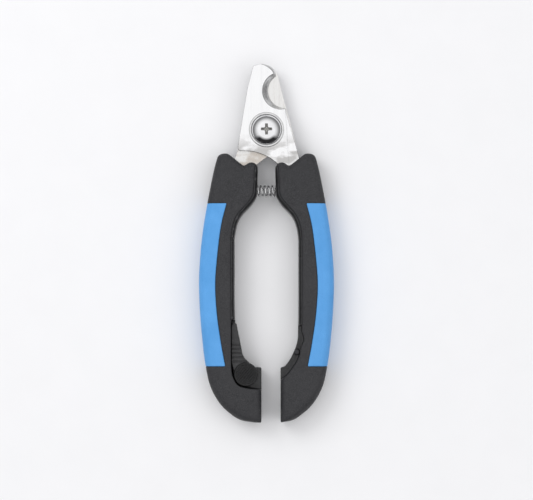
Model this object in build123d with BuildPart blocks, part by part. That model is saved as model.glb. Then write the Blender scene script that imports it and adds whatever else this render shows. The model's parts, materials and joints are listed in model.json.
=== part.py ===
from build123d import *
import math
import os

# Scissor nail clipper, lying on its back with its front face up.
# Origin: on the resting plane, below the centre of the outline.
# +Y runs towards the blade tips, +Z out of the front face. Millimetres.

os.makedirs("parts", exist_ok=True)

# ---------------------------------------------------------------- driving sizes
PIVOT = (0.0, 49.1)            # main pivot, its axis along Z
HANDLE_T = 14.0                # handle thickness
HANDLE_R = 3.0                 # rounding of the handle's edges
CORE_Z0, CORE_Z1 = 3.0, 11.0   # hard core inside the soft skins
CORE_T = CORE_Z1 - CORE_Z0
PLATE_T = 2.8                  # blade plate thickness
BACK_Z0 = 4.2                  # back plate's rear face
BACK_Z1 = BACK_Z0 + PLATE_T
FRONT_Z0 = BACK_Z1 + 0.05      # front plate's rear face
FRONT_Z1 = FRONT_Z0 + PLATE_T
BACK_TURN = 3.6                # how far the back blade stands past the mirrored front blade, deg
EDGE_LAND = 0.25               # flat left at the cutting edge
SHANK_R = 2.97                 # pivot screw
BUSH_RI, BUSH_RO = 3.0, 4.0
PLATE_BORE_R = 4.05            # running fit on the bushing
BUSH_TOP = FRONT_Z1 + 0.05
CUP_R = 7.7
DOME_R = 6.4
DOME_Z0, DOME_Z1 = BUSH_TOP + 0.5, 14.4
NUT_AF, NUT_Z0, NUT_Z1 = 10.0, 0.7, 3.7
BACK_WASHER_R = 6.2

SPRING_Y, SPRING_Z = 22.6, 7.0
SPRING_R = 2.3                 # mean coil radius
SPRING_WIRE = 0.8
SPRING_TURNS = 8
POCKET_R = 3.1
POCKET_X = 7.6                 # bottom of each spring pocket
SEAT_R, SEAT_T = 3.0, 0.6
PEG_R, PEG_L = 1.6, 2.4

LOCK = (-8.93, -56.69)         # lock lever's pivot
HUB_R = 5.1
LEDGE_Z = 8.0                  # step that the lever lies on
LEVER_Z0, LEVER_Z1, HUB_Z1 = 8.5, 11.8, 12.6
LOCK_PIN_R, LOCK_BORE_R = 1.5, 1.55
LOCK_HEAD_R, LOCK_HEAD_Z = 2.8, (0.8, 2.2)
CATCH = (13.1, -47.0)          # catch pin on the right handle
CATCH_R, CATCH_TOP = 1.0, 10.3
CLOSE_DEG = 3.6                # squeeze from rest until the handles' ends meet
LOCK_DEG = 73.0                # the lever's swing from rest to locked

TANG_PIN_R = 1.5
TANG_PINS = [(12.6, 28.6), (17.8, 6.0)]
CLEAR = 0.03                   # slack round a part held in its own body

# ---------------------------------------------------------------- outlines
# (x, y, corner radius); None is a corner as round as its two runs allow.
# Handle lines are the left handle's, and the right handle mirrors them.
TOP_AND_SIDE = [
    (-9.75, 33.2, 1.2), (-16.9, 38.9, 2.8), (-20.9, 38.5, 2.8), (-22.7, 32.0, None),
    (-25.7, 17.0, None), (-28.2, 1.0, None), (-29.35, -16.0, None), (-28.7, -32.0, None),
    (-26.9, -50.0, None), (-24.6, -62.0, None), (-19.6, -70.6, None), (-11.8, -76.6, None),
]
WINDOW_AND_NECK = [
    (-13.8, -30.0, None), (-13.8, 3.6, None), (-11.9, 10.8, None), (-6.2, 16.6, None),
    (-4.1, 20.2, None), (-3.6, 37.9, 2.8),
]
LEFT_END = [(-4.6, -77.5, None), (-2.2, -77.5, 0), (-2.2, -53.8, 0), (-6.0, -53.6, None), (-10.4, -50.4, None), (-13.0, -43.4, None)]
RIGHT_END = [(-6.1, -77.4, 0), (-6.1, -53.8, 0), (-8.0, -53.4, None), (-10.6, -49.8, None), (-13.6, -43.0, None)]

# hard core that shows: the neck, the window's rim and the lock's ledge
RIM_UPPER = [
    (3.0, 33.4, 0), (-5.0, 33.4, 0.8), (-5.6, 20.8, None), (-7.6, 17.6, None), (-13.2, 11.9, None),
    (-15.3, 4.2, None),
]
LEFT_LEDGE = [(-15.3, -52.0, None), (-14.9, -57.2, None), (-12.6, -61.6, None), (-8.0, -62.8, None), (3.0, -63.6, 0)]
RIGHT_LEDGE = [(-15.3, -38.0, 3.0), (-16.4, -41.6, 2.0), (-14.6, -46.4, 2.0), (-14.3, -48.4, 2.0), (-13.0, -51.4, 3.0), (-9.4, -56.5, 3.0), (-3.0, -61.6, 0)]
LEDGE_TOP_LEFT, LEDGE_TOP_RIGHT = -33.3, -35.5
# hard core inside the skins
CORE = [
    (3.0, 31.0, 0), (-8.2, 31.0, 1.5), (-9.8, 30.2, 1.5), (-16.0, 34.9, 2.0), (-19.3, 34.0, 2.0), (-20.4, 27.0, None),
    (-23.4, 12.0, None), (-25.4, 0.0, None), (-26.5, -16.0, None), (-25.9, -32.0, None),
    (-24.2, -49.0, None), (-21.6, -60.6, None), (-17.2, -68.0, None), (-10.6, -73.0, None), (-9.0, -73.4, 1.0),
    (-9.0, -64.6, 1.0), (3.0, -64.6, 0),
]
# blue grip: inner boundary, then well outside the handle
BLUE = [
    (-17.2, 17.1, 0), (-19.6, 8.0, None), (-21.1, -4.0, None), (-22.3, -18.0, None), (-21.3, -32.0, None),
    (-19.3, -45.0, None), (-17.7, -53.2, 0), (-34.0, -53.2, 0), (-34.0, 17.1, 0),
]

# front blade with its tang in the right handle, clockwise from the lower left corner
BLADE_LEFT = [(-12.7, 40.1, 1.2), (-11.2, 49.6, None), (-9.7, 58.8, None), (-8.5, 66.4, None), (-5.85, 76.9, 1.2)]
BLADE_TIP = [(-1.8, 77.95, None), (1.9, 76.9, None), (4.1, 74.4, None), (4.2, 70.0, 0), (8.0, 60.0, 0)]
BLADE_RIGHT = [(8.7, 56.0, None), (11.3, 47.2, None), (13.4, 40.0, None), (14.6, 35.4, None)]
# the back blade's outer side is ground a little narrower, and its corner is cut back
BACK_SIDE = [(-12.7, 40.1, 1.2), (-11.0, 49.6, None), (-9.0, 58.8, None), (-7.5, 66.4, None), (-6.2, 74.0, None), (-3.6, 76.7, None)]
BACK_TIP = [(-0.8, 77.5, None), (1.9, 76.9, None), (4.1, 74.4, None), (4.2, 70.0, 0), (8.0, 60.0, 0)]
TANG = [
    (15.8, 27.0, None), (17.0, 19.0, None), (19.2, 9.0, None), (20.8, -2.0, None), (20.2, -5.4, 1.0),
    (18.4, -5.4, 1.0), (16.9, 2.6, None), (14.9, 10.4, None), (11.8, 15.4, None), (9.6, 19.6, None),
    (9.2, 27.6, None), (5.4, 34.0, None),
]
BLADE_LOWER = [(0.6, 37.5, None), (-5.0, 39.6, None)]
# the back blade is the mirror of the front one above the neck, turned about the pivot
NOTCH_EDGE = ((8.15, 66.2), 7.46)      # cutting edge, on the face that slides on the other blade
NOTCH_BEVEL = ((6.2, 66.0), 7.93)      # where the ground bevel runs out on the outer face

# lock lever's arm at rest, round the hub at LOCK
ARM = [
    (-15.0, -51.5, 3.0), (-15.0, -35.6, 1.2), (-13.8, -34.1, 0.5), (-12.9, -35.0, 0.5), (-12.3, -38.0, None), (-11.0, -44.6, None),
    (-10.2, -49.0, None), (-7.0, -52.0, 0), (-9.0, -56.5, 0), (-13.9, -55.5, 0),
]
ARM_RIBS_Y = [-43.9, -45.7, -47.5, -49.3, -51.1]


def turn(points, deg, about=PIVOT):
    """Outline points turned counter-clockwise about a point."""
    c, s = math.cos(math.radians(deg)), math.sin(math.radians(deg))
    ax, ay = about
    return [(ax + (p[0] - ax) * c - (p[1] - ay) * s, ay + (p[0] - ax) * s + (p[1] - ay) * c, *p[2:]) for p in points]


def side(points, s):
    """Left-hand outline points as they stand on side s, -1 left and +1 right."""
    return points if s < 0 else [(-p[0], *p[1:]) for p in points]


def radii(points):
    out = []
    for i, (x, y, r) in enumerate(points):
        if r is None:
            ax, ay, _ = points[i - 1]
            bx, by, _ = points[(i + 1) % len(points)]
            run = min(math.hypot(x - ax, y - ay), math.hypot(bx - x, by - y))
            bend = math.atan2(by - y, bx - x) - math.atan2(y - ay, x - ax)
            bend = abs((bend + math.pi) % (2 * math.pi) - math.pi)
            r = 0.45 * run / math.tan(bend / 2)
        out.append(r)
    return out


def ring(points):
    """Closed outline with rounded corners; called inside BuildLine."""
    FilletPolyline(*[p[:2] for p in points], radius=radii(points), close=True)


FRONT_OUTLINE = BLADE_LEFT + BLADE_TIP + BLADE_RIGHT + TANG + BLADE_LOWER
BACK_UPPER = turn(side(BACK_SIDE + BACK_TIP + BLADE_RIGHT[:3], 1), BACK_TURN)
BACK_LOWER = turn(side(BLADE_LOWER, 1), BACK_TURN)
BACK_OUTLINE = BACK_UPPER + [(-14.3, 35.6, None)] + side(TANG[:-1], 1) + [(-5.6, 33.2, None)] + BACK_LOWER
HANDLE_OUTLINE = {-1: TOP_AND_SIDE + LEFT_END + WINDOW_AND_NECK, 1: TOP_AND_SIDE + RIGHT_END + WINDOW_AND_NECK}
RIM_OUTLINE = {-1: RIM_UPPER + LEFT_LEDGE, 1: RIM_UPPER + RIGHT_LEDGE}
PLATE = {-1: (BACK_OUTLINE, BACK_Z0), 1: (FRONT_OUTLINE, FRONT_Z0)}
PAST = 5.0                     # how far a cut runs past a face

# lever's outline as it comes down into the right handle, seen from that handle
LOCK_SWEEP = [turn(turn(ARM, -a, LOCK), CLOSE_DEG) for a in (LOCK_DEG + 1.0, LOCK_DEG - 7.0, LOCK_DEG - 15.0)]

forms, bones = {}, {}
for s in (-1, 1):
    # the whole handle, before it is divided into core, skin and grip
    with BuildPart() as form:
        with BuildSketch():
            with BuildLine():
                ring(side(HANDLE_OUTLINE[s], s))
            make_face()
        extrude(amount=HANDLE_T)
        fillet(form.faces().filter_by(Axis.Z).edges(), HANDLE_R)
    forms[s] = form.part

    # the space that the hard core takes: full height where it shows, sunk under the skins elsewhere
    with BuildPart() as bone:
        with BuildSketch(Plane.XY.offset(-1)):
            with BuildLine():
                ring(side(RIM_OUTLINE[s], s))
            make_face()
        extrude(amount=HANDLE_T + 2)
        with BuildSketch(Plane.XY.offset(CORE_Z0)):
            with BuildLine():
                ring(side(CORE, s))
            make_face()
        extrude(amount=CORE_T)
    bones[s] = bone.part


def prism(outline, z0, z1, grow=0.0):
    """Adds or cuts nothing itself: the sketch of an outline at height z0, with its height."""
    with BuildSketch(Plane.XY.offset(z0)) as face:
        with BuildLine():
            ring(outline)
        make_face()
        if grow:
            offset(amount=grow, kind=Kind.INTERSECTION)
    return face.sketch, z1 - z0


def cut_prism(outline, z0, z1, grow=0.0):
    face, height = prism(outline, z0, z1, grow)
    extrude(face, amount=height, mode=Mode.SUBTRACT)


def cut_round(points, r, z0, z1):
    with BuildSketch(Plane.XY.offset(z0)) as face:
        with Locations(*points):
            Circle(r)
    extrude(face.sketch, amount=z1 - z0, mode=Mode.SUBTRACT)


def cut_plate_slot(s):
    """Slot for the blade plate of side s, a hair larger than the plate."""
    outline, z0 = PLATE[s]
    cut_prism(outline, z0 - CLEAR, z0 + PLATE_T + CLEAR, CLEAR)


def cut_lock_slot():
    """Room in the right handle for the locked lever."""
    for outline in LOCK_SWEEP:
        cut_prism(outline, LEDGE_Z, LEVER_Z1 + 0.3, 0.4)


def cut_core_holes(s):
    cut_plate_slot(s)
    with BuildSketch(Plane.YZ) as pocket:
        with Locations((SPRING_Y, SPRING_Z)):
            Circle(POCKET_R)
    extrude(pocket.sketch, amount=s * POCKET_X, mode=Mode.SUBTRACT)
    cut_round([(s * x, y) for x, y in TANG_PINS], TANG_PIN_R + CLEAR, 0.0, HANDLE_T)


# ---------------------------------------------------------------- left handle
with BuildPart() as left_handle_core:
    add(forms[-1])
    add(bones[-1], mode=Mode.INTERSECT)
    cut_prism([(3.0, LEDGE_TOP_LEFT, 0), (-15.3, LEDGE_TOP_LEFT, 0)] + LEFT_LEDGE, LEDGE_Z, HANDLE_T + 1)
    cut_core_holes(-1)
    cut_round([LOCK], LOCK_PIN_R + CLEAR, -1, HANDLE_T)
    cut_round([LOCK], LOCK_HEAD_R + CLEAR, -1, LOCK_HEAD_Z[1] + CLEAR)

with BuildPart() as left_soft_grip:
    add(forms[-1])
    add(bones[-1], mode=Mode.SUBTRACT)
    cut_prism(BLUE, -1, HANDLE_T + 1)
    cut_plate_slot(-1)

with BuildPart() as left_blue_grip:
    add(forms[-1])
    with BuildSketch(Plane.XY.offset(-1)):
        with BuildLine():
            ring(BLUE)
        make_face()
    extrude(amount=HANDLE_T + 2, mode=Mode.INTERSECT)
    add(bones[-1], mode=Mode.SUBTRACT)

# ---------------------------------------------------------------- right handle
with BuildPart() as right_handle_core:
    add(forms[1])
    add(bones[1], mode=Mode.INTERSECT)
    cut_prism(side([(3.0, LEDGE_TOP_RIGHT, 0), (-15.3, LEDGE_TOP_RIGHT, 0)] + RIGHT_LEDGE, 1), LEDGE_Z, HANDLE_T + 1)
    cut_core_holes(1)
    cut_lock_slot()
    cut_round([CATCH], CATCH_R + CLEAR, CORE_Z0, HANDLE_T)

with BuildPart() as right_soft_grip:
    add(forms[1])
    add(bones[1], mode=Mode.SUBTRACT)
    cut_prism(side(BLUE, 1), -1, HANDLE_T + 1)
    cut_plate_slot(1)
    cut_lock_slot()

with BuildPart() as right_blue_grip:
    add(forms[1])
    with BuildSketch(Plane.XY.offset(-1)):
        with BuildLine():
            ring(side(BLUE, 1))
        make_face()
    extrude(amount=HANDLE_T + 2, mode=Mode.INTERSECT)
    add(bones[1], mode=Mode.SUBTRACT)

# ---------------------------------------------------------------- blades
# front blade: cutting edge on its rear face, bevel running out on its front face
with BuildPart() as front_blade:
    with BuildSketch(Plane.XY.offset(FRONT_Z0)):
        with BuildLine():
            ring(FRONT_OUTLINE)
        make_face()
    extrude(amount=PLATE_T)
    with BuildSketch(Plane.XY.offset(FRONT_Z0 - 1)):
        with Locations(NOTCH_EDGE[0]):
            Circle(NOTCH_EDGE[1])
    extrude(amount=PLATE_T + 2, mode=Mode.SUBTRACT)
    with BuildSketch(Plane.XY.offset(FRONT_Z0 + EDGE_LAND)):
        with Locations(NOTCH_EDGE[0]):
            Circle(NOTCH_EDGE[1])
    with BuildSketch(Plane.XY.offset(FRONT_Z1)):
        with Locations(NOTCH_BEVEL[0]):
            Circle(NOTCH_BEVEL[1])
    loft(mode=Mode.SUBTRACT)
    with BuildSketch(Plane.XY.offset(FRONT_Z0 - 1)):
        with Locations(PIVOT):
            Circle(PLATE_BORE_R)
        with Locations(*TANG_PINS):
            Circle(TANG_PIN_R + CLEAR)
    extrude(amount=PLATE_T + 2, mode=Mode.SUBTRACT)

EDGE_BACK = turn([(-NOTCH_EDGE[0][0], NOTCH_EDGE[0][1])], BACK_TURN)[0]
BEVEL_BACK = turn([(-NOTCH_BEVEL[0][0], NOTCH_BEVEL[0][1])], BACK_TURN)[0]
# back blade: cutting edge on its front face, bevel running out on its rear face
with BuildPart() as back_blade:
    with BuildSketch(Plane.XY.offset(BACK_Z0)):
        with BuildLine():
            ring(BACK_OUTLINE)
        make_face()
    extrude(amount=PLATE_T)
    with BuildSketch(Plane.XY.offset(BACK_Z0 - 1)):
        with Locations(EDGE_BACK):
            Circle(NOTCH_EDGE[1])
    extrude(amount=PLATE_T + 2, mode=Mode.SUBTRACT)
    with BuildSketch(Plane.XY.offset(BACK_Z1 - EDGE_LAND)):
        with Locations(EDGE_BACK):
            Circle(NOTCH_EDGE[1])
    with BuildSketch(Plane.XY.offset(BACK_Z0)):
        with Locations(BEVEL_BACK):
            Circle(NOTCH_BEVEL[1])
    loft(mode=Mode.SUBTRACT)
    with BuildSketch(Plane.XY.offset(BACK_Z0 - 1)):
        with Locations(PIVOT):
            Circle(BUSH_RO + 0.01)
        with Locations(*[(-x, y) for x, y in TANG_PINS]):
            Circle(TANG_PIN_R + CLEAR)
    extrude(amount=PLATE_T + 2, mode=Mode.SUBTRACT)

# ---------------------------------------------------------------- main pivot
PIVOT_XZ = Plane(origin=(*PIVOT, 0), x_dir=(1, 0, 0), z_dir=(0, -1, 0))
PIVOT_AXIS = Axis((*PIVOT, 0), (0, 0, 1))

with BuildPart() as pivot_bushing:
    with BuildSketch(Plane.XY.offset(BACK_Z0)):
        with Locations(PIVOT):
            Circle(BUSH_RO)
            Circle(BUSH_RI, mode=Mode.SUBTRACT)
    extrude(amount=BUSH_TOP - BACK_Z0)

# dished washer under the screw's head
with BuildPart() as cup_washer:
    with BuildSketch(PIVOT_XZ):
        with BuildLine():
            Polyline(
                (BUSH_RI, BUSH_TOP), (CUP_R - 0.3, BUSH_TOP), (CUP_R, BUSH_TOP + 0.35), (CUP_R - 0.25, BUSH_TOP + 0.75),
                (CUP_R - 0.8, BUSH_TOP + 1.15), (CUP_R - 1.0, BUSH_TOP + 1.05), (CUP_R - 1.2, BUSH_TOP + 0.5),
                (BUSH_RI, BUSH_TOP + 0.5), close=True,
            )
        make_face()
    revolve(axis=PIVOT_AXIS)

# domed cross-head screw
with BuildPart() as pivot_screw:
    with BuildSketch(PIVOT_XZ):
        with BuildLine():
            Polyline((0, DOME_Z1), (0, NUT_Z0), (SHANK_R - 0.4, NUT_Z0), (SHANK_R, NUT_Z0 + 0.4), (SHANK_R, DOME_Z0), (DOME_R - 0.15, DOME_Z0), (DOME_R, DOME_Z0 + 0.3))
            ThreePointArc((DOME_R, DOME_Z0 + 0.3), (3.9, 13.35), (0, DOME_Z1))
        make_face()
    revolve(axis=PIVOT_AXIS)
    with BuildSketch(Plane.XY.offset(DOME_Z1 - 2.0)):
        with Locations(PIVOT):
            Rectangle(2.2, 0.9)
            Rectangle(0.9, 2.2)
    with BuildSketch(Plane.XY.offset(DOME_Z1 + 0.2)):
        with Locations(PIVOT):
            Rectangle(4.4, 1.1)
            Rectangle(1.1, 4.4)
    loft(mode=Mode.SUBTRACT)

with BuildPart() as back_washer:
    with BuildSketch(Plane.XY.offset(NUT_Z1)):
        with Locations(PIVOT):
            Circle(BACK_WASHER_R)
            Circle(BUSH_RI, mode=Mode.SUBTRACT)
    extrude(amount=BACK_Z0 - NUT_Z1)

with BuildPart() as pivot_nut:
    with BuildSketch(Plane.XY.offset(NUT_Z0)):
        with Locations(PIVOT):
            RegularPolygon(NUT_AF / 2, 6, major_radius=False)
    extrude(amount=NUT_Z1 - NUT_Z0)
    # corners turned down to a circle on the outer face
    with BuildSketch(PIVOT_XZ):
        with BuildLine():
            Polyline((NUT_AF / 2 - 0.1, NUT_Z0 - 0.1), (NUT_AF, NUT_Z0 - 0.1), (NUT_AF, NUT_Z0 + 2.6), close=True)
        make_face()
    revolve(axis=PIVOT_AXIS, mode=Mode.SUBTRACT)
    with BuildSketch(Plane.XY.offset(NUT_Z0)):
        with Locations(PIVOT):
            Circle(BUSH_RI)
    extrude(amount=NUT_Z1 - NUT_Z0, mode=Mode.SUBTRACT)

# ---------------------------------------------------------------- tang pins
with BuildPart() as left_tang_pins:
    with BuildSketch(Plane.XY.offset(CORE_Z0)):
        with Locations(*[(-x, y) for x, y in TANG_PINS]):
            Circle(TANG_PIN_R)
    extrude(amount=CORE_T)

with BuildPart() as right_tang_pins:
    with BuildSketch(Plane.XY.offset(CORE_Z0)):
        with Locations(*TANG_PINS):
            Circle(TANG_PIN_R)
    extrude(amount=CORE_T)

# ---------------------------------------------------------------- opening spring
SPRING_L = 2 * (POCKET_X - SEAT_T - CLEAR)
with BuildPart() as opening_spring:
    with BuildLine() as coil:
        Helix(
            pitch=(SPRING_L - SPRING_WIRE - 0.1) / SPRING_TURNS, height=SPRING_L - SPRING_WIRE - 0.1, radius=SPRING_R,
            center=(-(SPRING_L - SPRING_WIRE - 0.1) / 2, SPRING_Y, SPRING_Z), direction=(1, 0, 0),
        )
    with BuildSketch(Plane(origin=coil.line @ 0, z_dir=coil.line % 0)):
        Circle(SPRING_WIRE / 2)
    sweep(is_frenet=True)

with BuildPart() as left_spring_seat:
    with BuildSketch(Plane.YZ.offset(-POCKET_X + CLEAR)):
        with Locations((SPRING_Y, SPRING_Z)):
            Circle(SEAT_R)
    extrude(amount=SEAT_T)
    with BuildSketch(Plane.YZ.offset(-POCKET_X + CLEAR + SEAT_T)):
        with Locations((SPRING_Y, SPRING_Z)):
            Circle(PEG_R)
    extrude(amount=PEG_L, taper=6)

with BuildPart() as right_spring_seat:
    with BuildSketch(Plane.YZ.offset(POCKET_X - CLEAR)):
        with Locations((SPRING_Y, SPRING_Z)):
            Circle(SEAT_R)
    extrude(amount=-SEAT_T)
    with BuildSketch(Plane.YZ.offset(POCKET_X - CLEAR - SEAT_T)):
        with Locations((SPRING_Y, SPRING_Z)):
            Circle(PEG_R)
    extrude(amount=-PEG_L, taper=6)

# ---------------------------------------------------------------- lock
# where the caught pin stands when the lever is locked, turned back to the lever at rest
CAUGHT = turn(turn([CATCH], -CLOSE_DEG), LOCK_DEG, LOCK)[0]
CAUGHT_DIR = math.degrees(math.atan2(CAUGHT[1] - LOCK[1], CAUGHT[0] - LOCK[0])) - 90.0

with BuildPart() as lock_lever:
    with BuildSketch(Plane.XY.offset(LEVER_Z0)):
        with BuildLine():
            ring(ARM)
        make_face()
    extrude(amount=LEVER_Z1 - LEVER_Z0)
    with BuildSketch(Plane.XY.offset(LEVER_Z0)):
        with Locations(LOCK):
            Circle(HUB_R)
    extrude(amount=HUB_Z1 - LEVER_Z0)
    # thumb ribs across the arm
    with BuildSketch(Plane.XY.offset(LEVER_Z1 - 0.5)):
        with Locations(*[(-12.6, y) for y in ARM_RIBS_Y]):
            Rectangle(8.0, 0.7)
        with Locations(LOCK):
            Circle(HUB_R + 0.3, mode=Mode.SUBTRACT)
    extrude(amount=1.0, mode=Mode.SUBTRACT)
    # slanted grooves on the hub
    with BuildSketch(Plane.XY.offset(HUB_Z1 - 0.4)):
        with Locations(Location((LOCK[0], LOCK[1]), 40.0)):
            with Locations((0, -2.0), (0, 0), (0, 2.0)):
                SlotOverall(5.6, 0.7)
    extrude(amount=1.0, mode=Mode.SUBTRACT)
    # hook groove in the underside that runs over the catch pin
    with BuildSketch(Plane.XY.offset(LEVER_Z0 - 0.5)):
        with Locations(Location((CAUGHT[0], CAUGHT[1]), CAUGHT_DIR)):
            with Locations((3.0, 0)):
                Rectangle(6.0, 2 * (CATCH_R + 0.2))
            Circle(CATCH_R + 0.2)
    extrude(amount=CATCH_TOP + 0.2 - LEVER_Z0 + 0.5, mode=Mode.SUBTRACT)
    with BuildSketch(Plane.XY.offset(LEVER_Z0)):
        with Locations(LOCK):
            Circle(LOCK_BORE_R)
    extrude(amount=3.0, mode=Mode.SUBTRACT)

with BuildPart() as lock_pivot_pin:
    with BuildSketch(Plane.XY.offset(LOCK_HEAD_Z[0])):
        with Locations(LOCK):
            Circle(LOCK_HEAD_R)
    extrude(amount=LOCK_HEAD_Z[1] - LOCK_HEAD_Z[0])
    with BuildSketch(Plane.XY.offset(LOCK_HEAD_Z[1])):
        with Locations(LOCK):
            Circle(LOCK_PIN_R)
    extrude(amount=LEVER_Z0 + 2.7 - LOCK_HEAD_Z[1])

with BuildPart() as lock_wave_washer:
    with BuildSketch(Plane.XY.offset(LEDGE_Z + 0.02)):
        with Locations(LOCK):
            Circle(4.4)
            Circle(LOCK_PIN_R + 0.1, mode=Mode.SUBTRACT)
    extrude(amount=0.4)

with BuildPart() as lock_catch_pin:
    with BuildSketch(Plane.XY.offset(CORE_Z0)):
        with Locations(CATCH):
            Circle(CATCH_R)
    extrude(amount=CATCH_TOP - CORE_Z0)

# ---------------------------------------------------------------- write the pieces
pieces = {
    "left_handle_core": left_handle_core, "left_soft_grip": left_soft_grip, "left_blue_grip": left_blue_grip,
    "right_handle_core": right_handle_core, "right_soft_grip": right_soft_grip, "right_blue_grip": right_blue_grip,
    "front_blade": front_blade, "back_blade": back_blade, "pivot_bushing": pivot_bushing, "cup_washer": cup_washer,
    "pivot_screw": pivot_screw, "back_washer": back_washer, "pivot_nut": pivot_nut,
    "left_tang_pins": left_tang_pins, "right_tang_pins": right_tang_pins, "opening_spring": opening_spring,
    "left_spring_seat": left_spring_seat, "right_spring_seat": right_spring_seat, "lock_lever": lock_lever,
    "lock_pivot_pin": lock_pivot_pin, "lock_wave_washer": lock_wave_washer, "lock_catch_pin": lock_catch_pin,
}
for name, piece in pieces.items():
    piece.part.label = name
    export_step(piece.part, f"parts/{name}.step")
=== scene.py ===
import json
import math

import bpy
import bmesh
import numpy as np
from mathutils import Matrix, Vector


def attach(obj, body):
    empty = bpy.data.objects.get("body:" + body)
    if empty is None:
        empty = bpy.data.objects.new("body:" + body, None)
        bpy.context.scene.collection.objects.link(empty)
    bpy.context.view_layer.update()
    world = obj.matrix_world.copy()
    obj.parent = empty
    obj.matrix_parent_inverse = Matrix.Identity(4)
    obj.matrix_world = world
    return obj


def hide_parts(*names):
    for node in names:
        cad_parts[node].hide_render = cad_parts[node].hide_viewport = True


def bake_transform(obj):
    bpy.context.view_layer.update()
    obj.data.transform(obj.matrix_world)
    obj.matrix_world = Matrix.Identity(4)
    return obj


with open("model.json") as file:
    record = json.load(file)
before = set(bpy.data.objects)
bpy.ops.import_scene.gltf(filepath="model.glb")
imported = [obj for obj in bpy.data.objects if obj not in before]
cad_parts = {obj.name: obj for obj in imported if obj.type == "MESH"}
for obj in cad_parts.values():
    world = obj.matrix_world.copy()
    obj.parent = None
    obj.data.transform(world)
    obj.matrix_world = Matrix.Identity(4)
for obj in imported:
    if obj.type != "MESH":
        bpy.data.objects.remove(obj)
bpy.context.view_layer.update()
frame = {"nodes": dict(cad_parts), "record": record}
nodes = frame["nodes"]
MM = 0.001
scene = bpy.context.scene


# ------------------------------------------------------------------ materials
class Mat:
    """A node material built up in object space, where one unit is one metre."""

    def __init__(self, name, **values):
        self.m = bpy.data.materials.new(name)
        self.m.use_nodes = True
        self.t = self.m.node_tree
        self.bsdf = next(n for n in self.t.nodes if n.type == "BSDF_PRINCIPLED")
        for key, v in values.items():
            key = key.replace("_", " ")
            self.bsdf.inputs[key].default_value = v if not isinstance(v, tuple) else (*v, 1.0)
        self.coord = self.t.nodes.new("ShaderNodeTexCoord").outputs["Object"]
        self.height = None

    def node(self, kind, **settings):
        n = self.t.nodes.new(kind)
        for k, v in settings.items():
            if hasattr(n, k):
                setattr(n, k, v)
            else:
                n.inputs[k.replace("_", " ")].default_value = v
        return n

    def link(self, a, b):
        self.t.links.new(a, b)

    def mapped(self, scale, rot=(0, 0, 0)):
        n = self.node("ShaderNodeMapping")
        n.inputs["Scale"].default_value = scale
        n.inputs["Rotation"].default_value = rot
        self.link(self.coord, n.inputs["Vector"])
        return n.outputs["Vector"]

    def noise(self, scale, detail=3.0, rough=0.5, stretch=(1, 1, 1), rot=(0, 0, 0)):
        n = self.node("ShaderNodeTexNoise")
        n.inputs["Scale"].default_value = scale
        n.inputs["Detail"].default_value = detail
        n.inputs["Roughness"].default_value = rough
        self.link(self.mapped(stretch, rot), n.inputs["Vector"])
        return n.outputs["Fac"]

    def cells(self, scale, stretch=(1, 1, 1)):
        n = self.node("ShaderNodeTexVoronoi")
        n.inputs["Scale"].default_value = scale
        self.link(self.mapped(stretch), n.inputs["Vector"])
        return n.outputs["Distance"]

    def ramp(self, fac, stops):
        n = self.node("ShaderNodeValToRGB")
        r = n.color_ramp
        while len(r.elements) < len(stops):
            r.elements.new(0.5)
        for e, (p, c) in zip(r.elements, stops):
            e.position = p
            e.color = (c, c, c, 1.0) if isinstance(c, (int, float)) else (*c, 1.0)
        self.link(fac, n.inputs["Fac"])
        return n.outputs["Color"]

    def mix(self, a, b, fac, how="MIX"):
        n = self.node("ShaderNodeMix", data_type="RGBA", blend_type=how)
        for sock, v in ((n.inputs[6], a), (n.inputs[7], b), (n.inputs[0], fac)):
            if hasattr(v, "links"):
                self.link(v, sock)
            elif isinstance(v, tuple):
                sock.default_value = (*v, 1.0)
            else:
                sock.default_value = v
        return n.outputs[2]

    def maths(self, op, a, b=0.0):
        n = self.node("ShaderNodeMath", operation=op)
        for sock, v in ((n.inputs[0], a), (n.inputs[1], b)):
            if hasattr(v, "links"):
                self.link(v, sock)
            else:
                sock.default_value = v
        return n.outputs[0]

    def bump(self, height, strength, distance):
        n = self.node("ShaderNodeBump")
        n.inputs["Strength"].default_value = strength
        n.inputs["Distance"].default_value = distance
        self.link(height, n.inputs["Height"])
        if self.height is not None:
            self.link(self.height, n.inputs["Normal"])
        self.height = n.outputs["Normal"]
        self.link(self.height, self.bsdf.inputs["Normal"])

    def colour(self, out):
        self.link(out, self.bsdf.inputs["Base Color"])

    def rough(self, out):
        self.link(out, self.bsdf.inputs["Roughness"])

    def edge(self, low, high):
        """0 in hollows and flats, 1 on raised edges; the materials mix a painted highlight in by it."""
        g = self.node("ShaderNodeNewGeometry")
        return self.ramp(g.outputs["Pointiness"], [(low, 0.0), (high, 1.0)])


def soft_black():
    m = Mat("soft_black", Roughness=0.6, IOR=1.45, Specular_IOR_Level=0.42)
    speck = m.noise(3300, 2.0, 0.6)
    cloud = m.noise(90, 3.0, 0.5)
    base = m.mix((0.014, 0.014, 0.016), (0.052, 0.052, 0.056), m.ramp(speck, [(0.38, 0.0), (0.74, 1.0)]))
    base = m.mix(base, (0.036, 0.036, 0.039), m.ramp(cloud, [(0.45, 0.0), (0.8, 0.5)]))
    # painted highlight: raised edges lightened through the pointiness mask
    base = m.mix(base, (0.085, 0.085, 0.09), m.maths("MULTIPLY", m.edge(0.54, 0.66), 0.30))
    m.colour(base)
    m.rough(m.ramp(m.noise(420, 4.0, 0.6), [(0.3, 0.46), (0.75, 0.66)]))
    m.bump(m.noise(4600, 2.0, 0.6), 0.7, 0.00008)
    m.bump(m.noise(900, 2.0, 0.5), 0.25, 0.00006)
    return m.m


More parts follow.
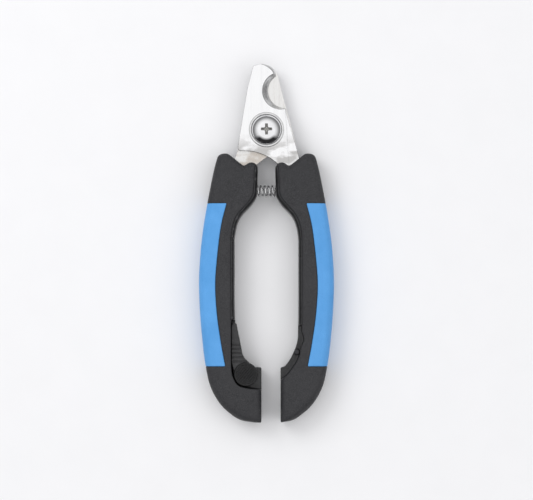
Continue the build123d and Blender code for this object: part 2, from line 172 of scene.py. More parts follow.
def hard_black():
    m = Mat("hard_black", Roughness=0.36, IOR=1.5, Specular_IOR_Level=0.5)
    base = m.mix((0.008, 0.008, 0.009), (0.018, 0.018, 0.020), m.ramp(m.noise(700, 3.0), [(0.35, 0.0), (0.7, 1.0)]))
    # painted highlight: raised edges lightened through the pointiness mask
    base = m.mix(base, (0.10, 0.10, 0.105), m.maths("MULTIPLY", m.edge(0.53, 0.62), 0.5))
    m.colour(base)
    m.rough(m.ramp(m.noise(160, 4.0, 0.6), [(0.3, 0.24), (0.75, 0.40)]))
    m.bump(m.noise(2600, 2.0, 0.5), 0.3, 0.00004)
    return m.m


def blue_rubber():
    m = Mat("blue_grip", Roughness=0.5, IOR=1.45, Specular_IOR_Level=0.42)
    base = m.mix((0.083, 0.312, 0.668), (0.108, 0.360, 0.745), m.ramp(m.noise(110, 4.0, 0.55), [(0.3, 0.0), (0.75, 1.0)]))
    base = m.mix(base, (0.058, 0.250, 0.580), m.maths("MULTIPLY", m.ramp(m.noise(3300, 2.0), [(0.50, 0.0), (0.72, 1.0)]), 0.5))
    # painted highlight: raised edges lightened through the pointiness mask
    base = m.mix(base, (0.17, 0.43, 0.80), m.maths("MULTIPLY", m.edge(0.54, 0.66), 0.35))
    m.colour(base)
    m.rough(m.ramp(m.noise(380, 4.0, 0.6), [(0.3, 0.42), (0.75, 0.60)]))
    m.bump(m.noise(4600, 2.0, 0.6), 0.5, 0.00006)
    return m.m


def steel(name, base_a, base_b, r_lo, r_hi, grain=(700, 26, 700), turn=0.0, strength=0.10, painted_heel_reflection=None):
    m = Mat(name, Metallic=1.0, Roughness=0.3)
    streak = m.noise(1.0, 5.0, 0.65, stretch=grain, rot=(0, 0, turn))
    cloud = m.noise(70, 4.0, 0.6)
    col = m.mix(base_a, base_b, m.ramp(streak, [(0.3, 0.0), (0.7, 1.0)]))
    col = m.mix(col, base_b, m.ramp(cloud, [(0.45, 0.0), (0.85, 0.6)]))
    # painted reflection: the steel turns darker in wavy patches towards the heel, standing in for the dark handles
    # mirrored in it
    if painted_heel_reflection:
        sep = m.node("ShaderNodeSeparateXYZ")
        m.link(m.coord, sep.inputs[0])
        low = m.ramp(m.maths("MULTIPLY", m.maths("SUBTRACT", painted_heel_reflection[0], sep.outputs["Y"]), 1 / painted_heel_reflection[1]), [(0.0, 0.0), (1.0, 1.0)])
        reflection_wave = m.ramp(m.noise(115, 3.0, 0.45, stretch=(1.0, 1.9, 1.0), rot=(0, 0, 0.5)), [(0.44, 0.0), (0.56, 1.0)])
        col = m.mix(col, painted_heel_reflection[2], m.maths("MULTIPLY", m.maths("MULTIPLY", low, reflection_wave), painted_heel_reflection[3]))
    m.colour(col)
    r = m.maths("ADD", m.ramp(streak, [(0.25, r_lo), (0.75, r_hi)]), m.ramp(cloud, [(0.4, 0.0), (0.8, 0.06)]))
    m.rough(r)
    m.bump(streak, strength, 0.00005)
    return m.m


def chrome():
    m = Mat("bright_chrome", Metallic=1.0, Roughness=0.08, Base_Color=(0.84, 0.84, 0.85))
    smear = m.noise(140, 4.0, 0.6)
    m.colour(m.mix((0.80, 0.80, 0.81), (0.90, 0.90, 0.91), m.ramp(smear, [(0.35, 0.0), (0.7, 1.0)])))
    m.rough(m.ramp(smear, [(0.35, 0.05), (0.75, 0.14)]))
    m.bump(m.noise(900, 3.0, 0.5), 0.05, 0.00004)
    return m.m


def lock_black(name="lock_black", lo=0.018, hi=0.036, spec=0.45):
    m = Mat(name, Roughness=0.45, IOR=1.5, Specular_IOR_Level=spec)
    base = m.mix((lo, lo, lo * 1.06), (hi, hi, hi * 1.06), m.ramp(m.noise(1500, 3.0), [(0.35, 0.0), (0.7, 1.0)]))
    # painted highlight: raised edges lightened through the pointiness mask
    base = m.mix(base, (0.09, 0.09, 0.095), m.maths("MULTIPLY", m.edge(0.53, 0.62), 0.4))
    m.colour(base)
    m.rough(m.ramp(m.noise(500, 4.0, 0.6), [(0.3, 0.38), (0.75, 0.52)]))
    m.bump(m.noise(4200, 2.0, 0.6), 0.4, 0.00005)
    return m.m


MATS = {
    "soft_black": soft_black(),
    "hard_black": hard_black(),
    "blue_grip": blue_rubber(),
    # the heel colours below are painted reflections of the handles in the blades
    "blade_steel": steel("blade_steel", (0.86, 0.86, 0.865), (0.94, 0.94, 0.94), 0.16, 0.28, painted_heel_reflection=(0.0474, 0.0070, (0.46, 0.45, 0.44), 0.85)),
    "ground_steel": steel("ground_steel", (0.70, 0.69, 0.67), (0.84, 0.835, 0.82), 0.20, 0.34, grain=(1400, 60, 1400), turn=0.25, strength=0.16, painted_heel_reflection=(0.0470, 0.0075, (0.52, 0.46, 0.40), 0.75)),
    "bevel_steel": steel("bevel_steel", (0.46, 0.46, 0.465), (0.72, 0.72, 0.72), 0.14, 0.26, grain=(60, 1500, 1500), turn=0.4, strength=0.16),
    "bright_chrome": chrome(),
    "washer_chrome": steel("washer_chrome", (0.60, 0.60, 0.605), (0.78, 0.78, 0.775), 0.12, 0.22, grain=(600, 600, 600), strength=0.04),
    # painted shade: a darker chrome for the faces inside the Phillips recess
    "recess_chrome": steel("recess_chrome", (0.34, 0.34, 0.345), (0.60, 0.59, 0.56), 0.18, 0.30, grain=(500, 500, 500), strength=0.05),
    "zinc_steel": steel("zinc_steel", (0.60, 0.60, 0.61), (0.72, 0.72, 0.72), 0.28, 0.42, grain=(240, 240, 240), strength=0.06),
    "spring_steel": steel("spring_steel", (0.62, 0.62, 0.63), (0.76, 0.76, 0.76), 0.18, 0.30, grain=(300, 900, 900), strength=0.05),
    "bushing_brass": steel("bushing_brass", (0.66, 0.48, 0.22), (0.78, 0.60, 0.32), 0.22, 0.34, grain=(300, 300, 900), strength=0.05),
    "hard_black_small": hard_black(),
    "lock_black": lock_black(),
    "button_black": lock_black("button_black", 0.006, 0.015, 0.32),
    "blackened_steel": steel("blackened_steel", (0.035, 0.035, 0.038), (0.07, 0.07, 0.074), 0.30, 0.42, grain=(400, 400, 400), strength=0.05),
}
SLOT = {s["node"]: s["material_slot"] for s in frame["record"]["subparts"]}
for name, o in nodes.items():
    o.data.materials.clear()
    o.data.materials.append(MATS[SLOT[name]])

# ------------------------------------------------------------------ shapes
PIVOT = Vector((0.0, 49.1))
TOP_AND_SIDE = [
    (-9.75, 33.2, 1.2), (-16.9, 38.9, 2.8), (-20.9, 38.5, 2.8), (-22.7, 32.0, None),
    (-25.7, 17.0, None), (-28.2, 1.0, None), (-29.35, -16.0, None), (-28.7, -32.0, None),
    (-26.9, -50.0, None), (-24.6, -62.0, None), (-19.6, -70.6, None), (-11.8, -76.6, None),
]
WINDOW_AND_NECK = [
    (-13.8, -30.0, None), (-13.8, 3.6, None), (-11.9, 10.8, None), (-6.2, 16.6, None),
    (-4.1, 20.2, None), (-3.6, 37.9, 2.8),
]
LEFT_END = [(-4.6, -77.5, None), (-2.2, -77.5, 0), (-2.2, -53.8, 0), (-6.0, -53.6, None), (-10.4, -50.4, None), (-13.0, -43.4, None)]
RIGHT_END = [(-6.1, -77.4, 0), (-6.1, -53.8, 0), (-8.0, -53.4, None), (-10.6, -49.8, None), (-13.6, -43.0, None)]
BLADE_LEFT = [(-12.7, 40.1, 1.2), (-11.2, 49.6, None), (-9.7, 58.8, None), (-8.5, 66.4, None), (-5.85, 76.9, 1.2)]
BLADE_TIP = [(-1.8, 77.95, None), (1.9, 76.9, None), (4.1, 74.4, None), (4.2, 70.0, 0), (8.0, 60.0, 0)]
BLADE_RIGHT = [(8.7, 56.0, None), (11.3, 47.2, None), (13.4, 40.0, None), (14.6, 35.4, None)]
BACK_SIDE = [(-12.7, 40.1, 1.2), (-11.0, 49.6, None), (-9.0, 58.8, None), (-7.5, 66.4, None), (-6.2, 74.0, None), (-3.6, 76.7, None)]
BACK_TIP = [(-0.8, 77.5, None), (1.9, 76.9, None), (4.1, 74.4, None), (4.2, 70.0, 0), (8.0, 60.0, 0)]
TANG = [
    (15.8, 27.0, None), (17.0, 19.0, None), (19.2, 9.0, None), (20.8, -2.0, None), (20.2, -5.4, 1.0),
    (18.4, -5.4, 1.0), (16.9, 2.6, None), (14.9, 10.4, None), (11.8, 15.4, None), (9.6, 19.6, None),
    (9.2, 27.6, None), (5.4, 34.0, None),
]
BLADE_LOWER = [(0.6, 37.5, None), (-5.0, 39.6, None)]
EDGE_C, EDGE_R = Vector((8.15, 66.2)), 7.46
BEVEL_C, BEVEL_R = Vector((6.2, 66.0)), 7.93
BACK_TURN = 3.6


def turn(points, deg, about=PIVOT):
    c, s = math.cos(math.radians(deg)), math.sin(math.radians(deg))
    ax, ay = about
    return [(ax + (p[0] - ax) * c - (p[1] - ay) * s, ay + (p[0] - ax) * s + (p[1] - ay) * c, *p[2:]) for p in points]


def mirror(points):
    return [(-p[0], *p[1:]) for p in points]


def rounded(points, step=0.35):
    """Outline of straight runs and corner arcs, sampled about every step mm."""
    n = len(points)
    out = []
    for i, (x, y, r) in enumerate(points):
        p = np.array((x, y))
        a = np.array(points[i - 1][:2])
        b = np.array(points[(i + 1) % n][:2])
        u, v = (a - p), (b - p)
        lu, lv = np.linalg.norm(u), np.linalg.norm(v)
        u, v = u / lu, v / lv
        bend = math.pi - math.acos(max(-1, min(1, float(u @ v))))
        if r is None:
            r = 0.45 * min(lu, lv) / math.tan(bend / 2)
        if r == 0 or bend < 1e-4:
            out.append(p)
            continue
        back = r * math.tan(bend / 2)
        start, end = p + u * back, p + v * back
        centre = p + (u + v) / np.linalg.norm(u + v) * math.hypot(r, back)
        a0 = math.atan2(*(start - centre)[::-1])
        a1 = math.atan2(*(end - centre)[::-1])
        d = (a1 - a0 + math.pi) % (2 * math.pi) - math.pi
        k = max(3, int(abs(d) * r / step))
        out += [centre + r * np.array((math.cos(a0 + d * j / k), math.sin(a0 + d * j / k))) for j in range(k + 1)]
    return np.array(out)


def resample(path, n, closed=False):
    path = np.asarray(path, float)
    if closed:
        path = np.vstack([path, path[:1]])
    seg = np.linalg.norm(np.diff(path, axis=0), axis=1)
    at = np.concatenate([[0], np.cumsum(seg)])
    want = np.linspace(0, at[-1], n + 1)[:-1] if closed else np.linspace(0, at[-1], n)
    return np.stack([np.interp(want, at, path[:, 0]), np.interp(want, at, path[:, 1])], 1)


def new_object(name, bm_or_mesh, mat, angle=35.0):
    if isinstance(bm_or_mesh, bmesh.types.BMesh):
        mesh = bpy.data.meshes.new(name)
        bm_or_mesh.to_mesh(mesh)
        bm_or_mesh.free()
    else:
        mesh = bm_or_mesh
        mesh.name = name
    o = bpy.data.objects.new(name, mesh)
    scene.collection.objects.link(o)
    mats = mat if isinstance(mat, (list, tuple)) else [mat]
    index = [min(p.material_index, len(mats) - 1) for p in mesh.polygons]
    mesh.materials.clear()
    for m in mats:
        mesh.materials.append(m)
    mesh.polygons.foreach_set("material_index", index)
    for p in mesh.polygons:
        p.use_smooth = True
    if angle is not None:
        mesh.set_sharp_from_angle(angle=math.radians(angle))
    return o


def evaluated(o):
    dg = bpy.context.evaluated_depsgraph_get()
    dg.update()
    return bpy.data.meshes.new_from_object(o.evaluated_get(dg))


def soft_copy(name, source, voxel, smooth=2, ratio=None):
    """A dense, evenly meshed copy of a CAD solid with its edges just broken."""
    o = bpy.data.objects.new("work", source.data.copy())
    scene.collection.objects.link(o)
    r = o.modifiers.new("remesh", "REMESH")
    r.mode = "VOXEL"
    r.voxel_size = voxel * MM
    r.use_smooth_shade = True
    sm = o.modifiers.new("smooth", "SMOOTH")
    sm.factor = 0.5
    sm.iterations = smooth
    mesh = evaluated(o)
    bpy.data.objects.remove(o)
    return mesh


def thin_out(mesh, ratio):
    o = bpy.data.objects.new("work", mesh)
    scene.collection.objects.link(o)
    d = o.modifiers.new("d", "DECIMATE")
    d.ratio = ratio
    out = evaluated(o)
    bpy.data.objects.remove(o)
    return out


def bands(s):
    """Inner and outer edge of a handle at each height, as functions of y, in mm."""
    line = rounded(TOP_AND_SIDE + (LEFT_END if s < 0 else RIGHT_END) + WINDOW_AND_NECK)
    x, y = -line[:, 0], line[:, 1]
    ys = np.arange(-77.4, 38.8, 0.5)
    inner, outer = [], []
    nx, ny = np.roll(x, -1), np.roll(y, -1)
    for q in ys:
        hit = (np.minimum(y, ny) <= q) & (np.maximum(y, ny) >= q) & (np.abs(ny - y) > 1e-9)
        xs = x[hit] + (q - y[hit]) / (ny - y)[hit] * (nx - x)[hit]
        inner.append(xs.min())
        outer.append(xs.max())
    return ys, np.array(inner), np.array(outer)


BANDS = {-1: bands(-1), 1: bands(1)}


def crown(mesh, s):
    """Rounds a handle piece's front and back towards its outer side and its ends."""
    co = np.zeros(len(mesh.vertices) * 3)
    mesh.vertices.foreach_get("co", co)
    co = co.reshape(-1, 3) / MM
    ys, inner, outer = BANDS[s]
    y = co[:, 1]
    xi, xo = np.interp(y, ys, inner), np.interp(y, ys, outer)
    xi = np.where(y > 33.0, 3.6, xi)
    xo = np.where(y > 36.0, 21.0, xo)
    u = np.clip((np.abs(co[:, 0]) - xi) / np.maximum(xo - xi, 1.0), 0, 1)
    # the inner half stays flat beside the lever, so that it keeps its way into the slot
    lock = np.clip((-26 - y) / 7, 0, 1)
    k = 1 - 0.20 * (u * (1 - lock) + np.clip((u - 0.42) / 0.58, 0, 1) * lock) ** 2.6 - 0.05 * (1 - u) ** 3 * (1 - lock)
    k *= 1 - 0.13 * np.clip((-58 - y) / 19.5, 0, 1) ** 2
    k *= 1 - 0.10 * np.clip((y - 22) / 17.0, 0, 1) ** 2
    co[:, 2] = 7.0 + (co[:, 2] - 7.0) * k
    mesh.vertices.foreach_set("co", (co * MM).ravel())
    mesh.update()


HALF = {-1: "left", 1: "right"}
for s in (-1, 1):
    for part, mat, voxel in (("soft_grip", "soft_black", 0.30), ("blue_grip", "blue_grip", 0.30), ("handle_core", "hard_black", 0.34)):
        node = f"{HALF[s]}_{part}"
        mesh = soft_copy(node, nodes[node], voxel, 5 if part != "handle_core" else 2)
        crown(mesh, s)
        o = new_object(node + "_skin", mesh, MATS[mat], angle=None)
        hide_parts(node)
        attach(o, HALF[s] + "_half")

# ------------------------------------------------------------------ blades
def cut_by_circle(path, c, r):
    """The open path that is left outside the circle, with its two ends on the circle."""
    c = np.array(c)
    d = np.linalg.norm(path - c, axis=1) - r
    n = len(path)
    inside = d < 0
    start = next(i for i in range(n) if inside[i - 1] and not inside[i])
    rolled = np.roll(path, -start, axis=0)
    dr = np.roll(d, -start)
    end = next(i for i in range(n) if dr[i] < 0)

    def crossing(p, q):
        lo, hi = 0.0, 1.0
        for _ in range(40):
            mid = (lo + hi) / 2
            if np.linalg.norm(p + (q - p) * mid - c) < r:
                lo = mid
            else:
                hi = mid
        return p + (q - p) * hi

    first = crossing(rolled[-1], rolled[0])
    last = crossing(rolled[end], rolled[end - 1])
    return np.vstack([first, rolled[:end], last])


def inset(loop, d, closed=True):
    if d == 0:
        return loop
    nxt, prv = np.roll(loop, -1, axis=0), np.roll(loop, 1, axis=0)
    t = nxt - prv
    t /= np.linalg.norm(t, axis=1)[:, None] + 1e-12
    normal = np.stack([t[:, 1], -t[:, 0]], 1)
    return loop + normal * d


def blade(name, outline, edge, bevel, z_edge, z_outer, tip):
    """A plate whose round notch is sharp on its sliding face and hollow-ground towards the outer one."""
    path = rounded(outline, 0.2)
    dense = np.vstack([np.linspace(path[i - 1], path[i], max(2, int(np.linalg.norm(path[i] - path[i - 1]) / 0.2)), endpoint=False) for i in range(len(path))])
    keep_apart = np.linalg.norm(np.diff(dense, axis=0, append=dense[:1]), axis=1) > 1e-6
    dense = dense[keep_apart]
    ccw = np.sum(dense[:, 0] * np.roll(dense[:, 1], -1) - np.roll(dense[:, 0], -1) * dense[:, 1]) > 0
    weight = np.array([tip(x, y) for x, y in dense])[:, None]
    loops = []
    nb, na = 84, 900
    grow = np.sign(z_outer - z_edge)
    levels = [(0.0, 0.0, 0.06), (0.06, 0.0, 0.0), (0.22, 0.0, 0.0), (0.60, 0.10, 0.0), (1.0, 0.25, 0.0), (1.3, 0.39, 0.0), (1.6, 0.53, 0.0),
              (1.9, 0.67, 0.0), (2.2, 0.80, 0.0), (2.45, 0.91, 0.0), (2.66, 0.975, 0.05), (2.8, 1.0, 0.20)]
    for depth, t, chamfer in levels:
        c = np.array(edge[0]) * (1 - t) + np.array(bevel[0]) * t
        r = edge[1] * (1 - t) + bevel[1] * t
        ground = 1.05 * max(0.0, (depth - 1.1) / 1.7) ** 1.7 * weight
        pulled = dense + (inset(dense, -1.0 if ccw else 1.0) - dense) * ground
        rest = cut_by_circle(pulled, c, r)
        rest = resample(rest, na)
        a0 = math.atan2(*(rest[-1] - c)[::-1])
        a1 = math.atan2(*(rest[0] - c)[::-1])
        d = (a1 - a0 + math.pi) % (2 * math.pi) - math.pi
        # the arc runs on the blade's side of the circle
        mid = c + r * np.array((math.cos(a0 + d / 2), math.sin(a0 + d / 2)))
        want = np.array(bevel[0]) - np.array(edge[0])
        if (mid - c) @ want < 0:
            d = d - math.copysign(2 * math.pi, d)
        arc = np.array([c + r * np.array((math.cos(a0 + d * j / nb), math.sin(a0 + d * j / nb))) for j in range(1, nb)])
        loop = np.vstack([rest, arc])
        area2 = np.sum(loop[:, 0] * np.roll(loop[:, 1], -1) - np.roll(loop[:, 0], -1) * loop[:, 1])
        moved = inset(loop, -chamfer if area2 > 0 else chamfer)
        keep = np.zeros(len(loop), bool)
        keep[na - 1:] = True
        keep[0] = True
        if depth < 0.2:
            moved[keep] = loop[keep]
        loops.append((z_edge + grow * depth, moved, area2 > 0))
    bm = bmesh.new()
    rows = [[bm.verts.new((x * MM, y * MM, z * MM)) for x, y in pts] for z, pts, _ in loops]
    n = len(rows[0])
    for k, (a, b) in enumerate(zip(rows, rows[1:])):
        for j in range(n):
            f = bm.faces.new((a[j], a[(j + 1) % n], b[(j + 1) % n], b[j]))
            hook = levels[k][0] >= 1.3 and tip(*loops[k][1][j]) > 0.12
            f.material_index = 1 if j >= na - 1 or hook else 0
    bm.faces.new(list(reversed(rows[0]))).material_index = 2
    bm.faces.new(rows[-1])
    bmesh.ops.recalc_face_normals(bm, faces=bm.faces)
    bmesh.ops.triangulate(bm, faces=[f for f in bm.faces if len(f.verts) > 4])
    return new_object(name, bm, [MATS["blade_steel"], MATS["bevel_steel"], MATS["ground_steel"]], angle=22.0)


def hooked(x, y):
    """1 round the hooked end of a blade, where its outer edge is ground back."""
    return min(1.0, max(0.0, (x + 2.5) / 4.5)) * min(1.0, max(0.0, (y - 70.0) / 2.0))


FRONT_Z0, FRONT_Z1 = 7.05, 9.85
BACK_Z0, BACK_Z1 = 4.2, 7.0
front_outline = BLADE_LEFT + BLADE_TIP + BLADE_RIGHT + TANG + BLADE_LOWER
back_outline = (turn(mirror(BACK_SIDE + BACK_TIP + BLADE_RIGHT[:3]), BACK_TURN) + [(-14.3, 35.6, None)] + mirror(TANG[:-1])
                + [(-5.6, 33.2, None)] + turn(mirror(BLADE_LOWER), BACK_TURN))
front = blade("front_blade_plate", front_outline, (EDGE_C, EDGE_R), (BEVEL_C, BEVEL_R), FRONT_Z0, FRONT_Z1, hooked)
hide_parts("front_blade")
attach(front, "right_half")
edge_b = turn([(-EDGE_C[0], EDGE_C[1])], BACK_TURN)[0]
bevel_b = turn([(-BEVEL_C[0], BEVEL_C[1])], BACK_TURN)[0]
back = blade("back_blade_plate", back_outline, (edge_b, EDGE_R), (bevel_b, BEVEL_R), BACK_Z1, BACK_Z0,
             lambda x, y: hooked(*mirror(turn([(x, y)], -BACK_TURN))[0]))
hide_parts("back_blade")
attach(back, "left_half")


# ------------------------------------------------------------------ pivot
def lathe(profile, centre, n=128):
    """Closed turned solid from (radius, z) points in mm; a radius of 0 is a pole."""
    bm = bmesh.new()
    rings = []
    for r, z in profile:
        if r < 1e-6:
            rings.append([bm.verts.new((centre[0] * MM, centre[1] * MM, z * MM))])
        else:
            rings.append([bm.verts.new(((centre[0] + r * math.cos(2 * math.pi * j / n)) * MM, (centre[1] + r * math.sin(2 * math.pi * j / n)) * MM, z * MM)) for j in range(n)])
    pairs = list(zip(rings, rings[1:]))
    if len(rings[0]) > 1:
        pairs.append((rings[-1], rings[0]))
    for a, b in pairs:
        for j in range(n):
            k = (j + 1) % n
            if len(a) == 1:
                bm.faces.new((a[0], b[k], b[j]))
            elif len(b) == 1:
                bm.faces.new((a[j], a[k], b[0]))
            else:
                bm.faces.new((a[j], a[k], b[k], b[j]))
    bmesh.ops.recalc_face_normals(bm, faces=bm.faces)
    return bm


def arc_points(c, r, a0, a1, n):
    return [(c[0] + r * math.cos(math.radians(a0 + (a1 - a0) * i / n)), c[1] + r * math.sin(math.radians(a0 + (a1 - a0) * i / n))) for i in range(n + 1)]


BT = 9.9                       # top of the bushing
cup_profile = ([(2.99, BT + 0.5), (6.42, BT + 0.5), (6.52, BT + 0.56), (6.6, BT + 0.9), (6.68, BT + 1.03), (6.8, BT + 1.09)]
               + [(7.0, BT + 1.12), (7.2, BT + 1.1), (7.38, BT + 1.02), (7.52, BT + 0.86), (7.62, BT + 0.62), (7.67, BT + 0.3), (7.66, BT + 0.08), (7.55, BT)]
               + [(2.99, BT)])
cup = new_object("cup_washer_ring", lathe(cup_profile, PIVOT), MATS["washer_chrome"], angle=40)
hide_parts("cup_washer")
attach(cup, "left_half")

top_z = BT + 4.42
cap = [(6.12 * q, top_z - 2.75 * q ** 2.25) for q in np.linspace(0, 1, 44)]
screw_profile = ([(0.0, top_z)] + cap[1:] + [(6.27, top_z - 2.92), (6.37, top_z - 3.12), (6.4, top_z - 3.36), (6.4, BT + 0.72), (6.34, BT + 0.6), (6.15, BT + 0.51), (2.97, BT + 0.51)]
                 + [(2.97, 1.1), (2.9, 0.95), (2.57, 0.72), (2.45, 0.7), (0.0, 0.7)])
screw_work = new_object("screw_work", lathe(screw_profile, PIVOT, 160), MATS["bright_chrome"], angle=None)


def cross_cutter():
    bm = bmesh.new()
    for turned in (0, 1):
        low, high = top_z - 2.2, top_z + 0.6
        rows = []
        for z, half_l, half_w in ((low, 0.8, 0.36), (top_z - 1.15, 1.7, 0.47), (high, 3.25, 0.72)):
            pts = [(-half_l, -half_w), (half_l, -half_w), (half_l, half_w), (-half_l, half_w)]
            if turned:
                pts = [(-y, x) for x, y in pts]
            rows.append([bm.verts.new(((PIVOT[0] + x) * MM, (PIVOT[1] + y) * MM, z * MM)) for x, y in pts])
        for a, b in zip(rows, rows[1:]):
            for j in range(4):
                bm.faces.new((a[j], a[(j + 1) % 4], b[(j + 1) % 4], b[j]))
        bm.faces.new(list(reversed(rows[0])))
        bm.faces.new(rows[-1])
    # deep centre
    rows = []
    for z, r in ((top_z - 2.6, 0.15), (top_z - 1.9, 0.85), (high, 1.35)):
        rows.append([bm.verts.new(((PIVOT[0] + r * math.cos(math.pi / 8 + j * math.pi / 4)) * MM, (PIVOT[1] + r * math.sin(math.pi / 8 + j * math.pi / 4)) * MM, z * MM)) for j in range(8)])
    for a, b in zip(rows, rows[1:]):
        for j in range(8):
            bm.faces.new((a[j], a[(j + 1) % 8], b[(j + 1) % 8], b[j]))
    bm.faces.new(list(reversed(rows[0])))
    bm.faces.new(rows[-1])
    bmesh.ops.recalc_face_normals(bm, faces=bm.faces)
    return bm


cutter = new_object("cutter", cross_cutter(), MATS["bright_chrome"], angle=None)
boo = screw_work.modifiers.new("cross", "BOOLEAN")
boo.operation = "DIFFERENCE"
boo.solver = "EXACT"
boo.use_self = True
boo.object = cutter
screw = new_object("pivot_screw_dome", evaluated(screw_work), [MATS["bright_chrome"], MATS["recess_chrome"]], angle=40)
for p in screw.data.polygons:
    r = (Vector((p.center.x, p.center.y)) / MM - PIVOT).length
    under = top_z - 2.75 * (r / 6.12) ** 2.25 - p.center.z / MM
    # faces inside the recess take the darker chrome as painted shade
    p.material_index = 1 if r < 3.6 and 0.04 < under < 3.0 else 0
bpy.data.objects.remove(screw_work)
bpy.data.objects.remove(cutter)
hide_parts("pivot_screw")
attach(screw, "left_half")


# ------------------------------------------------------------------ lock lever
LOCK = Vector((-8.93, -56.69))
ARM = [
    (-15.0, -51.5, 3.0), (-15.0, -35.6, 1.2), (-13.8, -34.1, 0.5), (-12.9, -35.0, 0.5), (-12.3, -38.0, None), (-11.0, -44.6, None),
    (-10.2, -49.0, None), (-7.0, -52.0, 0), (-9.0, -56.5, 0), (-13.9, -55.5, 0),
]
CATCH = Vector((13.1, -47.0))


def prism(outline, z0, z1, bm=None):
    """Straight extrusion of a closed outline in mm."""
    bm = bm or bmesh.new()
    low = [bm.verts.new((x * MM, y * MM, z0 * MM)) for x, y in outline]
    high = [bm.verts.new((x * MM, y * MM, z1 * MM)) for x, y in outline]
    n = len(low)
    faces = [bm.faces.new((low[j], low[(j + 1) % n], high[(j + 1) % n], high[j])) for j in range(n)]
    faces += [bm.faces.new(list(reversed(low))), bm.faces.new(high)]
    bmesh.ops.recalc_face_normals(bm, faces=faces)
    return bm


def bar(centre, angle, length, width):
    c, s = math.cos(math.radians(angle)), math.sin(math.radians(angle))
    return [(centre[0] + x * c - y * s, centre[1] + x * s + y * c)
            for x, y in ((-length / 2, -width / 2), (length / 2, -width / 2), (length / 2, width / 2), (-length / 2, width / 2))]


def disc(centre, r, n=64):
    return [(centre[0] + r * math.cos(2 * math.pi * j / n), centre[1] + r * math.sin(2 * math.pi * j / n)) for j in range(n)]


def combine(target, other, op):
    m = target.modifiers.new(op, "BOOLEAN")
    m.operation = op
    m.solver = "EXACT"
    m.use_self = True
    m.object = other
    mesh = evaluated(target)
    old = target.data
    target.modifiers.clear()
    target.data = mesh
    bpy.data.objects.remove(other)
    return target


def work(bm):
    mesh = bpy.data.meshes.new("work")
    bm.to_mesh(mesh)
    bm.free()
    o = bpy.data.objects.new("work", mesh)
    scene.collection.objects.link(o)
    return o


caught = turn(turn([tuple(CATCH)], -BACK_TURN), 73.0, LOCK)[0]
caught_dir = math.degrees(math.atan2(caught[1] - LOCK[1], caught[0] - LOCK[0])) - 90.0
along = (math.cos(math.radians(caught_dir)), math.sin(math.radians(caught_dir)))
body = work(prism(rounded(ARM, 0.25), 8.5, 11.8))
for y in (-43.9, -45.7, -47.5, -49.3, -51.1):
    body = combine(body, work(prism([(-16.6, y - 0.34), (-8.6, y - 0.34), (-8.6, y + 0.34), (-16.6, y + 0.34)], 11.35, 12.8)), "DIFFERENCE")
body = combine(body, work(prism(bar((caught[0] + 3 * along[0], caught[1] + 3 * along[1]), caught_dir, 6.0, 2.4), 8.0, 10.5)), "DIFFERENCE")
body = combine(body, work(prism(disc(caught, 1.2), 8.0, 10.49)), "DIFFERENCE")
body = combine(body, work(prism(disc(LOCK, 1.55), 8.0, 13.0)), "DIFFERENCE")
# the button's shell overlaps the arm, and the remesh makes one body of them
shell = bmesh.new()
shell.from_mesh(body.data)
bpy.data.objects.remove(body)
extra = [lathe([(0.0, 11.5), (1.55, 11.5), (1.55, 8.52), (5.1, 8.52), (5.1, 12.22), (5.03, 12.42), (4.85, 12.56), (4.6, 12.6), (4.35, 12.58), (4.2, 12.48), (4.1, 12.26), (0.0, 12.22)], LOCK, 128)]
for k in range(-4, 5):
    off = 0.92 * k
    half = math.sqrt(4.12 ** 2 - (abs(off) + 0.23) ** 2)
    c, s_ = math.cos(math.radians(50)), math.sin(math.radians(50))
    extra.append(prism(bar((LOCK[0] - off * s_, LOCK[1] + off * c), 50, 2 * half, 0.46), 12.0, 12.5))
for piece in extra:
    mesh = bpy.data.meshes.new("part")
    piece.to_mesh(mesh)
    piece.free()
    shell.from_mesh(mesh)
body = work(shell)
lever_mesh = soft_copy("lock_lever", body, 0.12, 1)
bpy.data.objects.remove(body)
lever = new_object("lock_lever_skin", lever_mesh, [MATS["lock_black"], MATS["button_black"]], angle=None)
for p in lever.data.polygons:
    c = p.center / MM
    if c.z > 11.85 and (Vector((c.x, c.y)) - LOCK).length < 5.3:
        p.material_index = 1
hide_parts("lock_lever")
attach(lever, "lock")


# ------------------------------------------------------------------ opening spring
def coil(name, x0, x1, cy, cz, r, wire, turns, n=26, m=12):
    """Compression spring along X with closed ends."""
    bm = bmesh.new()
    total = turns + 1.6
    steps = int(total * n)
    free = (x1 - x0) - wire
    rows = []
    for i in range(steps + 1):
        q = i / n
        # dead coils lie against each other at both ends
        if q < 0.8:
            x = x0 + wire / 2 + wire * 0.9 * q / 0.8 * 0.8
        elif q > total - 0.8:
            x = x1 - wire / 2 - wire * 0.9 * (total - q) / 0.8 * 0.8
        else:
            lo, hi = x0 + wire / 2 + wire * 0.72, x1 - wire / 2 - wire * 0.72
            x = lo + (hi - lo) * (q - 0.8) / (total - 1.6)
        a = 2 * math.pi * q
        c = Vector((x, cy + r * math.cos(a), cz + r * math.sin(a)))
        radial = Vector((0, math.cos(a), math.sin(a)))
        along = Vector((1, 0, 0))
        rows.append([bm.verts.new((c + (radial * math.cos(b) + along * math.sin(b)) * (wire / 2)) * MM) for b in [2 * math.pi * j / m for j in range(m)]])
    for a, b in zip(rows, rows[1:]):
        for j in range(m):
            bm.faces.new((a[j], a[(j + 1) % m], b[(j + 1) % m], b[j]))
    bm.faces.new(list(reversed(rows[0])))
    bm.faces.new(rows[-1])
    bmesh.ops.recalc_face_normals(bm, faces=bm.faces)
    return new_object(name, bm, MATS["spring_steel"], angle=50)


spring = coil("opening_spring_coil", -6.95, 6.95, 22.6, 7.0, 2.3, 0.8, 7.4)
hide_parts("opening_spring")
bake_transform(spring)

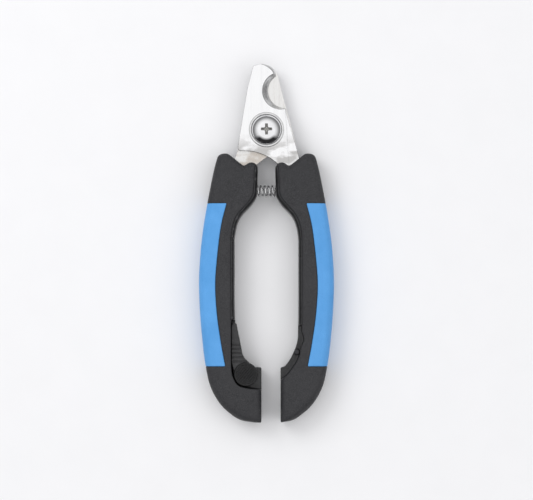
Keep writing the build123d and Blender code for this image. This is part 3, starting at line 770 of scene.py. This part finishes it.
# ------------------------------------------------------------------ floor, light, camera
me = bpy.data.meshes.new("floor")
bm = bmesh.new()
bmesh.ops.create_grid(bm, x_segments=8, y_segments=8, size=3.0)
bm.to_mesh(me)
bm.free()
floor = bpy.data.objects.new("floor", me)
scene.collection.objects.link(floor)
floor.location = (0, 0, -0.00002)
fm = Mat("floor_paper", Roughness=0.9)
fm.colour(fm.mix((0.82, 0.82, 0.83), (0.85, 0.85, 0.86), fm.noise(60, 3.0)))
floor.data.materials.append(fm.m)

world = bpy.data.worlds.new("studio")
scene.world = world
world.use_nodes = True
wt = world.node_tree
bg = next(n for n in wt.nodes if n.type == "BACKGROUND")
tc = wt.nodes.new("ShaderNodeTexCoord")
sep = wt.nodes.new("ShaderNodeSeparateXYZ")
wt.links.new(tc.outputs["Generated"], sep.inputs[0])
ramp = wt.nodes.new("ShaderNodeValToRGB")
stops = [(0.0, 0.22), (0.18, 0.46), (0.38, 1.15), (0.60, 1.58)]
while len(ramp.color_ramp.elements) < len(stops):
    ramp.color_ramp.elements.new(0.5)
for e, (p, c) in zip(ramp.color_ramp.elements, stops):
    e.position = p
    e.color = (c, c, c * 1.01, 1)
wt.links.new(sep.outputs["Z"], ramp.inputs["Fac"])


def world_math(op, a, b, clamp=False):
    n = wt.nodes.new("ShaderNodeMath")
    n.operation = op
    n.use_clamp = clamp
    for sock, v in ((n.inputs[0], a), (n.inputs[1], b)):
        if hasattr(v, "links"):
            wt.links.new(v, sock)
        else:
            sock.default_value = v
    return n.outputs[0]


# the room is dark low down behind the handles' end
low = world_math("MULTIPLY", world_math("SUBTRACT", 0.62, sep.outputs["Z"]), 4.0, True)
near = world_math("MULTIPLY", world_math("SUBTRACT", world_math("MULTIPLY", sep.outputs["Y"], -1.0), 0.45), 4.0, True)
dark = wt.nodes.new("ShaderNodeMix")
dark.data_type = "RGBA"
wt.links.new(world_math("MULTIPLY", low, near), dark.inputs[0])
wt.links.new(ramp.outputs["Color"], dark.inputs[6])
dark.inputs[7].default_value = (0.04, 0.04, 0.042, 1.0)
wt.links.new(dark.outputs[2], bg.inputs["Color"])
bg.inputs["Strength"].default_value = 0.66


def area(name, at, target, size, power, colour=(1, 1, 1)):
    light = bpy.data.lights.new(name, "AREA")
    light.shape = "RECTANGLE"
    light.size, light.size_y = size
    light.energy = power
    light.color = colour
    o = bpy.data.objects.new(name, light)
    scene.collection.objects.link(o)
    o.location = at
    o.rotation_euler = (Vector(target) - Vector(at)).to_track_quat("-Z", "Y").to_euler()
    o.visible_glossy = False
    return o


area("key", (-0.55, 0.45, 0.75), (0, 0, 0), (0.5, 0.5), 2.7)
area("fill", (0.65, -0.25, 0.6), (0, 0, 0), (0.7, 0.5), 0.5)
area("top", (0.0, 0.25, 1.25), (0, 0, 0), (0.9, 0.5), 0.4)

# seen from straight above, a touch from the handles' end
PX = 0.4336 * MM
D = 0.95
TILT = math.radians(1.5)
aim = Vector((0.0, -6.75 * PX, 0.007))
cam = bpy.data.cameras.new("camera")
cam.sensor_fit = "HORIZONTAL"
cam.sensor_width = 36.0
cam.lens = 18.0 * D / (533 * PX / 2)
cam.clip_start = 0.01
cam_o = bpy.data.objects.new("camera", cam)
scene.collection.objects.link(cam_o)
cam_o.location = aim + D * Vector((0, -math.sin(TILT), math.cos(TILT)))
cam_o.rotation_euler = (TILT, 0, 0)
scene.camera = cam_o
scene.view_settings.view_transform = "Standard"
scene.view_settings.look = "None"
